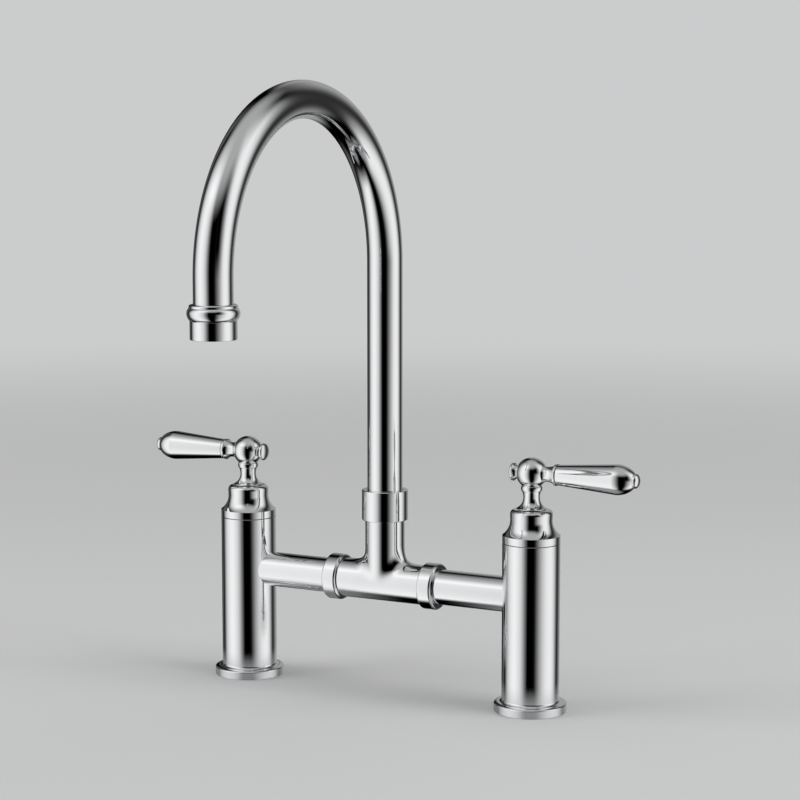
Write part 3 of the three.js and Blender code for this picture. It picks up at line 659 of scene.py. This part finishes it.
def dress(material, *nodes):
    """Gives nodes that keep their shape their material."""
    for name in nodes:
        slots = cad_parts[name].data.materials
        slots.clear()
        slots.append(material)


for side in sides:
    dress(rubber, f"base_gasket_{side}", f"cartridge_seal_{side}", f"cartridge_oring_{side}",
          f"spindle_oring_{side}")
    dress(brass, f"cartridge_body_{side}", f"spindle_{side}")
    dress(ceramic, f"fixed_disc_{side}", f"moving_disc_{side}")
    dress(steel, f"spindle_circlip_{side}")


# ---- Bonnets ----
# Turned brass covers, chromed, that screw down over the cartridges: a rim as wide as the pillar, a
# hollow flare, a drum and a rounded shoulder, with a hole in the top for the spindle.

bonnet_low, bonnet_high = (corner.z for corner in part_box("bonnet_left"))
bonnet_rim = 0.0046
bonnet_flare = 0.0092
drum_radius = 0.013
drum_bulge = 0.00015
shoulder = 0.003
bonnet_wall = 0.0017
top_plate = 0.0025
spindle_hole = 0.0054
hole_corner = 0.0002
flange_play = 0.00025
flange_room = 0.003  # how high the room for the cartridge's flange is
flange_bore = drum_radius + flange_play
drum_bore = drum_radius - bonnet_wall

for side in sides:
    bonnet = Turning(flange_bore, bonnet_low)
    bonnet.line(pillar_radius, bonnet_low, corner=rim_corner)
    bonnet.line(pillar_radius, bonnet_low + bonnet_rim)
    bonnet.arc_to_upright(drum_radius, bonnet_low + bonnet_rim + bonnet_flare)
    bonnet.line(drum_radius + drum_bulge, bonnet_high - shoulder)
    bonnet.dome(shoulder, shoulder)
    bonnet.line(spindle_hole, bonnet_high, corner=hole_corner)
    bonnet.lines((spindle_hole, bonnet_high - top_plate), (drum_bore, bonnet_high - top_plate))
    bonnet.lines((drum_bore, bonnet_low + flange_room), (flange_bore, bonnet_low + flange_room))
    fitted(placed(bonnet.spun(), pillar_axis[side]), f"bonnet_cover_{side}", chrome, "chrome", "body",
           f"bonnet_{side}")


# ---- Handle hubs and their grub screws ----
# Each hub is one turned and chromed piece: a bell over the bonnet, a waist, a bead and a ball. At
# the back of the bell a steel grub screw, with a hexagon socket, clamps it to the spindle.

hub_low, hub_high = (corner.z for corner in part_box("handle_hub_left"))
skirt_radius = 0.0092
skirt_lip = 0.0004
skirt_corner = 0.00015
lip_corner = 0.00012
bell_height = 0.00655
waist_radius = 0.0051
neck_radius = 0.0059
neck_rise = 0.0039
bead_bulge = 0.0007
bead_height = 0.0035
ball_radius = 0.00965
hub_bore = 0.00425
hub_bore_depth = 0.0081
bore_top = hub_low + hub_bore_depth
ball_height = hub_high - ball_radius
waist_height = hub_low + skirt_lip + bell_height
bead_low = waist_height + neck_rise
bead_top = bead_low + bead_height
grub_low, grub_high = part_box("hub_grub_screw_left")
grub_radius = (grub_high.x - grub_low.x) / 2
grub_steps = 36
grub_play = 0.0001
grub_hole_steps = 48
grub_hole_overlap = 0.001  # how far its hole reaches into the hub's bore
grub_chamfer = 0.00015
grub_socket = 0.00088  # half the socket's width across its corners
grub_socket_sides = 6
grub_socket_depth = 0.0011

bodies = {"left": "left_handle", "right": "right_handle"}


def bead(outline, width, height):
    """A bead of half an ellipse that stands out from the outline's last radius."""
    start = outline.tip.co
    centre = Vector((start.x, 0, start.z + height / 2))
    outline.oval_arc(centre, math.pi, (2 * width / height, 1, 1))


def corners_in(geometry):
    """The corners among what an operator gives back."""
    return [part for part in geometry if isinstance(part, bmesh.types.BMVert)]


def edges_in(geometry):
    """The edges among what an operator gives back."""
    return [part for part in geometry if isinstance(part, bmesh.types.BMEdge)]


def grub_screw(radius, length):
    """A short screw, its axis along Z, with a hexagon socket in the end that shows."""
    mesh = bmesh.new()

    def ring(steps, size):
        made = bmesh.ops.create_circle(mesh, segments=steps, radius=size)
        return list({e for v in made["verts"] for e in v.link_edges})

    rim = ring(grub_steps, radius - grub_chamfer)
    socket = ring(grub_socket_sides, grub_socket)
    bmesh.ops.bridge_loops(mesh, edges=rim + socket)
    floor = bmesh.ops.extrude_edge_only(mesh, edges=socket)["geom"]
    bmesh.ops.translate(mesh, verts=corners_in(floor), vec=(0, 0, -grub_socket_depth))
    bmesh.ops.edgeloop_fill(mesh, edges=edges_in(floor))
    loop = rim
    for wider, down in ((radius, grub_chamfer), (radius, length - 2 * grub_chamfer),
                        (radius - grub_chamfer, grub_chamfer)):
        moved = bmesh.ops.extrude_edge_only(mesh, edges=loop)["geom"]
        verts = corners_in(moved)
        loop = edges_in(moved)
        now = math.hypot(verts[0].co.x, verts[0].co.y)
        bmesh.ops.scale(mesh, verts=verts, vec=(wider / now, wider / now, 1))
        bmesh.ops.translate(mesh, verts=verts, vec=(0, 0, -down))
    bmesh.ops.edgeloop_fill(mesh, edges=loop)
    return mesh


def facing_back(mesh, end):
    """Lays a screw, drawn with its head up, into the hub with its head towards the back."""
    return placed(swung(mesh, -math.pi / 2, "X"), Vector((0, end - grub_axis.y, grub_axis.z)))


def bored(piece, cutter):
    """A piece's mesh with a cutter's shape cut out of it. Both objects are used up."""
    cut = piece.modifiers.new("bore", "BOOLEAN")
    cut.object = cutter
    bpy.context.view_layer.update()
    solid = piece.evaluated_get(bpy.context.evaluated_depsgraph_get())
    whole = bmesh.new()
    whole.from_mesh(bpy.data.meshes.new_from_object(solid))
    bpy.data.objects.remove(piece)
    bpy.data.objects.remove(cutter)
    return whole


grub_axis = Vector((0, pillar_axis["left"].y, (grub_low.z + grub_high.z) / 2))
for side in sides:
    hub = Turning(0, bore_top)
    hub.lines((hub_bore, bore_top), (hub_bore, hub_low))
    hub.line(skirt_radius, hub_low, corner=skirt_corner)
    hub.line(skirt_radius, hub_low + skirt_lip, corner=lip_corner)
    hub.arc_to_upright(waist_radius, waist_height)
    hub.arc_from_upright(neck_radius, bead_low)
    bead(hub, bead_bulge, bead_height)
    ball_start = math.atan2(bead_top - ball_height, neck_radius)
    hub.arc(0, ball_height, math.pi / 2 - ball_start)
    hub = hub.spun()
    bmesh.ops.recalc_face_normals(hub, faces=hub.faces)
    hole = bmesh.new()
    bmesh.ops.create_cone(hole, cap_ends=True, segments=grub_hole_steps,
                          radius1=grub_radius + grub_play, radius2=grub_radius + grub_play,
                          depth=2 * hub_bore)
    placed(swung(hole, math.pi / 2, "X"), (0, 2 * hub_bore - grub_hole_overlap, grub_axis.z))
    hub = bored(linked("uncut_hub", hub), linked("grub_hole", hole))
    fitted(placed(hub, pillar_axis[side]), f"hub_{side}", chrome, "chrome", bodies[side],
           f"handle_hub_{side}")
    screw = facing_back(grub_screw(grub_radius, grub_high.y - grub_low.y), grub_high.y)
    fitted(placed(screw, pillar_axis[side]), f"grub_screw_{side}", steel, "steel", bodies[side],
           f"hub_grub_screw_{side}")
    dress(steel, f"lever_shaft_{side}")


# ---- Levers ----
# A steel shaft runs through the ball, and everything on it is turned and chromed: a bell-mouthed
# ferrule, a tapered grip with a rounded end and a small button, and a finial on the inner side.

ball_sink = 0.0004  # how far ferrule and finial reach into the ball
ferrule_low, ferrule_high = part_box("lever_ferrule_right")
grip_low, grip_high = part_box("lever_grip_right")
button_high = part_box("lever_end_button_right")[1]
finial_low, finial_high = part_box("finial_right")
axis_x = pillar_axis["right"].x
shaft_bore = 0.00275
ferrule_foot = 0.0055
ferrule_toe = 0.0027
ferrule_neck = 0.0047
ferrule_mouth = 0.0062
ferrule_lip = 0.0067
ferrule_lip_width = 0.0013
ferrule_lip_corner = 0.0002
ferrule_end_corner = 0.0003
grip_narrow = 0.00625
grip_wide = 0.00935
grip_dome = 0.0114
grip_tip = 0.0043
grip_corner = 0.0004
button_radius = 0.0045
button_band = 0.0005
button_dome = 0.0024
button_sink = 0.0003  # how far the button reaches into the grip
finial_neck = 0.0039
finial_mouth = 0.0051
finial_flare = 0.0024
finial_radius = 0.0055
finial_dome = 0.0018
finial_corner = 0.0003


def on_lever(outline, piece, node, side, inwards=False):
    """Turns one piece of a lever, its foot to the ball, and sets it on the outer or the inner side."""
    middle = pillar_axis[side] + Vector((0, 0, ball_height))
    half_turn = (sides[side] < 0) != inwards
    fitted(placed(along_x(outline.spun()), middle, half_turn), f"{piece}_{side}", chrome, "chrome",
           bodies[side], f"{node}_{side}")


for side in sides:
    start = ferrule_low.x - axis_x
    end = ferrule_high.x - axis_x
    ferrule = Turning(shaft_bore, start - ball_sink)
    ferrule.line(ferrule_foot, start - ball_sink)
    ferrule.arc_to_upright(ferrule_neck, start + ferrule_toe)
    ferrule.arc_from_upright(ferrule_mouth, end - ferrule_lip_width)
    ferrule.line(ferrule_lip, end - ferrule_lip_width, corner=ferrule_lip_corner)
    ferrule.line(ferrule_lip, end, corner=ferrule_end_corner)
    ferrule.line(shaft_bore, end)
    on_lever(ferrule, "ferrule", "lever_ferrule", side)

    start = grip_low.x - axis_x
    end = grip_high.x - axis_x
    grip = Turning(shaft_bore, start)
    grip.line(grip_narrow, start, corner=grip_corner)
    grip.line(grip_wide, end - grip_dome)
    grip.dome(grip_wide, grip_dome, math.acos(grip_tip / grip_wide))
    grip.line(shaft_bore, end)
    on_lever(grip, "grip", "lever_grip", side)

    start = button_high.x - axis_x - button_dome - button_band
    button = Turning(0, start - button_sink)
    button.line(button_radius, start - button_sink)
    button.line(button_radius, start + button_band)
    button.dome(button_radius, button_dome)
    on_lever(button, "end_button", "lever_end_button", side)

    start = axis_x - finial_high.x
    end = axis_x - finial_low.x
    finial = Turning(0, start - ball_sink)
    finial.line(finial_neck, start - ball_sink)
    finial.arc_from_upright(finial_mouth, start + finial_flare)
    finial.line(finial_radius, start + finial_flare, corner=finial_corner)
    finial.line(finial_radius, end - finial_dome)
    finial.dome(finial_radius, finial_dome)
    on_lever(finial, "finial_cap", "finial", side, inwards=True)


# ---- Bridge tubes, union nuts and washers ----
# Two chromed brass tubes, brazed into the pillars. A round union nut draws the flange on each inner
# end against the tee, over a rubber washer.

bridge_low, bridge_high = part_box("bridge_tube_right")
bridge_height = (bridge_low.z + bridge_high.z) / 2
bridge_y = (bridge_low.y + bridge_high.y) / 2
tee_radius = 0.0125
tube_radius = 0.0111
tube_wall = 0.002
tube_flange = 0.0014
union_low, union_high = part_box("union_nut_right")
union_radius = 0.0146
union_edge = 0.0016
union_lip = 0.0015
nut_play = 0.00025
nut_mouth_corner = 0.0002
bridge_middle = Vector((0, bridge_y, bridge_height))


def collar_nut(radius, edge, start, end, lip):
    """A round nut over the stub that it screws on, with a lip that holds what stands inside it."""
    nut = Turning(tee_radius + nut_play, start)
    nut.line(radius, start, corner=edge)
    nut.line(radius, end, corner=edge)
    nut.line(tube_radius + nut_play, end, corner=nut_mouth_corner)
    nut.lines((tube_radius + nut_play, end - lip), (tee_radius + nut_play, end - lip))
    return nut.spun()


for side, way in sides.items():
    half_turn = way < 0
    tube = Turning(tube_radius - tube_wall, bridge_low.x)
    tube.lines((tee_radius, bridge_low.x), (tee_radius, bridge_low.x + tube_flange))
    tube.lines((tube_radius, bridge_low.x + tube_flange), (tube_radius, bridge_high.x))
    tube.line(tube_radius - tube_wall, bridge_high.x)
    fitted(placed(along_x(tube.spun()), bridge_middle, half_turn), f"bridge_pipe_{side}", chrome,
           "chrome", "body", f"bridge_tube_{side}")
    nut = along_x(collar_nut(union_radius, union_edge, union_low.x, union_high.x, union_lip))
    fitted(placed(nut, bridge_middle, half_turn), f"bridge_nut_{side}", chrome, "chrome", "body",
           f"union_nut_{side}")
    dress(rubber, f"union_washer_{side}")


# ---- Tee ----
# The cast middle of the bridge, chromed. Its two arms and its upright branch are as thick as each
# other, and a wide and smooth hollow fills the corners between them.

tee_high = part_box("tee_body")[1]
tee_arm = tee_high.x
branch_top = tee_high.z - bridge_height
blend_reach = 0.0252  # where the blend between arm and branch starts, on either axis
blend_pull = 0.0102  # how far its handles reach towards the corner
blend_steps = 60
half_rib_steps = 34  # points on either half of a rib, between its ends and its corner
fine_reach = 0.027  # how far from the corner those points reach
tee_wall = 0.0025
rib_count = 96
smooth_passes = 64  # the front and the back of the crossing are smoothed within a shrinking radius
smooth_start = 0.0165
smooth_end = 0.006
smooth_share = 0.5
tee_merge_distance = 2e-6
least_leg = 1e-12  # on the outermost ribs the blend shrinks to a point, and its legs to nought


def master_rib():
    """Half of the tee's outline: along the arm, round the blend and half way to the branch."""
    on_arm = Vector((blend_reach, 0, tee_radius))
    on_branch = Vector((tee_radius, 0, blend_reach))
    curve = interpolate_bezier(on_arm, on_arm - Vector((blend_pull, 0, 0)),
                               on_branch - Vector((0, 0, blend_pull)), on_branch, 2 * blend_steps + 1)
    return curve[:blend_steps + 1]


def evenly(points, count):
    """The same line again, with its points at even distances."""
    lengths = [(after - before).length for before, after in zip(points, points[1:])]
    stops = []
    passed, leg = 0.0, 0
    for i in range(count + 1):
        goal = sum(lengths) * i / count
        while leg < len(lengths) - 1 and passed + lengths[leg] < goal:
            passed += lengths[leg]
            leg += 1
        share = min(1, (goal - passed) / max(lengths[leg], least_leg))
        stops.append(points[leg].lerp(points[leg + 1], share))
    return stops


def tee_rib(mesh, swing):
    """One line over the tee, in an upright plane: along the arm, round the blend, up the branch."""
    side, up = tee_radius * math.cos(swing), math.sin(swing)
    half = [Vector((fine_reach, 0, tee_radius * up))] + [point * up for point in master_rib()]
    half = evenly(half, half_rib_steps)
    rest = [Vector((point.z, 0, point.x)) for point in reversed(half[:-1])]
    tip = mesh.verts.new((tee_arm, side, tee_radius * up))
    for point in half + rest + [Vector((tee_radius * up, 0, branch_top))]:
        tip = bmesh.ops.extrude_vert_indiv(mesh, verts=[tip])["verts"][0]
        tip.co = (point.x, side, point.z)


def tee_skin():
    """Both sides of the tee's upper half, made of ribs, and the half round of its underside."""
    mesh = bmesh.new()
    last = []
    for i in range(rib_count + 1):
        known = set(mesh.edges)
        tee_rib(mesh, math.pi * i / rib_count)
        rib = [e for e in mesh.edges if e not in known]
        if last:
            bmesh.ops.bridge_loops(mesh, edges=last + rib)
        last = rib
    tip = mesh.verts.new((tee_arm, -tee_radius, 0))
    under = [tip]
    for i in range(half_rib_steps + 1):
        corner = mesh.verts.new((fine_reach * (1 - i / half_rib_steps), -tee_radius, 0))
        under += [corner, mesh.edges.new((corner, tip))]
        tip = corner
    bmesh.ops.spin(mesh, geom=under, cent=(0, 0, 0), axis=(1, 0, 0), angle=math.pi, steps=rib_count)
    bmesh.ops.mirror(mesh, geom=mesh.verts[:] + mesh.edges[:] + mesh.faces[:], axis="X")
    bmesh.ops.remove_doubles(mesh, verts=mesh.verts, dist=tee_merge_distance)
    for way in (-1, 1):
        crossing = Vector((0, way * tee_radius, 0))
        for i in range(smooth_passes):
            reach = smooth_start + (smooth_end - smooth_start) * i / smooth_passes
            near = [v for v in mesh.verts if (v.co - crossing).length < reach]
            bmesh.ops.smooth_vert(mesh, verts=near, factor=smooth_share, use_axis_x=True,
                                  use_axis_y=True, use_axis_z=True)
    bmesh.ops.recalc_face_normals(mesh, faces=mesh.faces)
    return mesh


def walled(piece, thickness):
    """Gives a skin its wall, on the inner side."""
    wall = piece.modifiers.new("wall", "SOLIDIFY")
    wall.thickness = thickness
    wall.offset = -1


tee = linked("tee", placed(tee_skin(), bridge_middle))
walled(tee, tee_wall)
shaded(tee, chrome, "chrome", "body", "tee_body")


# ---- Spout nut, bush and spigot ----
# A round chromed nut holds the spout down on the tee's branch. Under its lip a plastic bush lets the
# spout turn, and a brass spigot with two rubber rings seals it inside the branch.

spout_nut_low, spout_nut_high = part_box("spout_nut")
spout_nut_radius = 0.0146
spout_nut_edge = 0.0006
spout_nut_lip = 0.0029
riser_axis = Vector((0, bridge_y, 0))

nut = collar_nut(spout_nut_radius, spout_nut_edge, spout_nut_low.z, spout_nut_high.z, spout_nut_lip)
fitted(placed(nut, riser_axis), "spout_collar_nut", chrome, "chrome", "body", "spout_nut")
dress(plastic, "swivel_bush")
dress(brass, "spout_spigot")
dress(rubber, "spigot_oring_lower", "spigot_oring_upper")


# ---- Spout ----
# A chromed brass tube, seven eighths of an inch thick: straight up, over a half circle and straight
# down to the outlet.

spout_low, spout_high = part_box("spout_tube")
arch_radius = (spout_high.y - spout_low.y) / 2 - tube_radius
spring_height = spout_high.z - tube_radius - arch_radius
spout_wall = 0.0012
spout_steps = 96
arch_steps = 120
washer_room = 0.0003
outlet_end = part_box("aerator_washer")[1].z + washer_room
arch_centre = Vector((0, bridge_y - arch_radius, spring_height))


def spout_sweep():
    """The tube's skin: a circle drawn up, swung over the arch and drawn down."""
    mesh = bmesh.new()
    made = bmesh.ops.create_circle(mesh, segments=spout_steps, radius=tube_radius)
    bmesh.ops.translate(mesh, verts=made["verts"], vec=(0, bridge_y, spout_low.z))

    def drawn(edges, rise):
        """Draws the tube on, straight up or down, and gives its new end."""
        moved = bmesh.ops.extrude_edge_only(mesh, edges=edges)["geom"]
        bmesh.ops.translate(mesh, verts=corners_in(moved), vec=(0, 0, rise))
        return edges_in(moved)

    loop = drawn(mesh.edges[:], spring_height - spout_low.z)
    ring = loop + list({v for e in loop for v in e.verts})
    arch = bmesh.ops.spin(mesh, geom=ring, cent=arch_centre, axis=(1, 0, 0), angle=math.pi,
                          steps=arch_steps)
    drawn(edges_in(arch["geom_last"]), outlet_end - spring_height)
    bmesh.ops.remove_doubles(mesh, verts=mesh.verts, dist=merge_distance)
    bmesh.ops.recalc_face_normals(mesh, faces=mesh.faces)
    return mesh


gooseneck = linked("gooseneck", spout_sweep())
walled(gooseneck, spout_wall)
shaded(gooseneck, chrome, "chrome", "spout", "spout_tube")


# ---- Outlet: collar, aerator housing and grid ----
# A turned collar with a wide bulge and a small bead covers the joint between the tube and the aerator
# housing. The housing is a chromed sleeve that holds a plastic insert and a steel grid.

collar_low, collar_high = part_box("outlet_collar")
collar_crest = 0.0041
collar_shoulder = 0.0131
collar_bulge = (collar_high.x - collar_low.x) / 2
collar_band = 0.0068
collar_bead = 0.0135
collar_mouth = 0.0003  # the flat round its upper mouth
collar_crown = (collar_high.z - collar_low.z - collar_band) / 2
housing_low, housing_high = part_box("aerator_housing")
housing_radius = (housing_high.x - housing_low.x) / 2
housing_height = 0.0102
housing_wall = 0.00155
housing_lip = 0.0012
housing_lip_width = 0.0009
housing_corner = 0.0003
sleeve_corner = 0.0002
outlet_axis = Vector((0, bridge_y - 2 * arch_radius, 0))

collar_bore = tube_radius + nut_play
collar = Turning(collar_bore, collar_low.z)
collar.line(collar_shoulder, collar_low.z)
collar.arc_to_upright(collar_bulge, collar_low.z + collar_crest)
collar.arc_from_upright(collar_bead, collar_low.z + collar_band)
collar.line(collar_bead, (collar_low.z + collar_band + collar_high.z) / 2)
collar.dome(collar_bead - collar_bore - collar_mouth, collar_crown)
collar.line(collar_bore, collar_high.z)
fitted(placed(collar.spun(), outlet_axis), "bead_collar", chrome, "chrome", "spout", "outlet_collar")

mouth = housing_low.z
sleeve_top = mouth + housing_height
bore = housing_radius - housing_wall
neck_bore = tube_radius - spout_wall
housing = Turning(bore - housing_lip_width, mouth)
housing.line(housing_radius, mouth, corner=housing_corner)
housing.line(housing_radius, sleeve_top, corner=sleeve_corner)
housing.lines((tube_radius, sleeve_top), (tube_radius, housing_high.z), (neck_bore, housing_high.z))
housing.lines((neck_bore, sleeve_top - housing_lip), (bore, sleeve_top - housing_lip))
housing.lines((bore, mouth + housing_lip), (bore - housing_lip_width, mouth + housing_lip))
fitted(placed(housing.spun(), outlet_axis), "outlet_sleeve", chrome, "chrome", "spout",
       "aerator_housing")
dress(rubber, "aerator_washer")
dress(plastic, "aerator_insert")

screen_low, screen_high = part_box("aerator_screen")
screen_radius = (screen_high.x - screen_low.x) / 2
screen_rim = 0.0009
screen_corner = 0.0001
screen_middle = Vector((0, outlet_axis.y, (screen_low.z + screen_high.z) / 2))
grid_cells = 20
grid_wire = 0.0003
grid_reach = screen_radius - screen_rim / 2  # from the grid's middle to its sides
grid_trim = screen_radius - screen_rim / 4  # a cell that reaches past this is left out

rim = Turning(screen_radius - screen_rim, screen_low.z)
rim.line(screen_radius, screen_low.z, corner=screen_corner)
rim.line(screen_radius, screen_high.z, corner=screen_corner)
rim.line(screen_radius - screen_rim, screen_high.z)
fitted(placed(rim.spun(), outlet_axis), "grid_rim", steel, "steel", "spout", "aerator_screen")
wires = bmesh.new()
bmesh.ops.create_grid(wires, x_segments=grid_cells, y_segments=grid_cells, size=grid_reach)
beyond = [face for face in wires.faces if max(v.co.length for v in face.verts) > grid_trim]
bmesh.ops.delete(wires, geom=beyond, context="FACES")
bmesh.ops.wireframe(wires, faces=wires.faces, thickness=grid_wire, use_replace=True,
                    use_boundary=True, use_even_offset=True)
fitted(placed(wires, screen_middle), "grid_wires", steel, "steel", "spout", "aerator_screen")
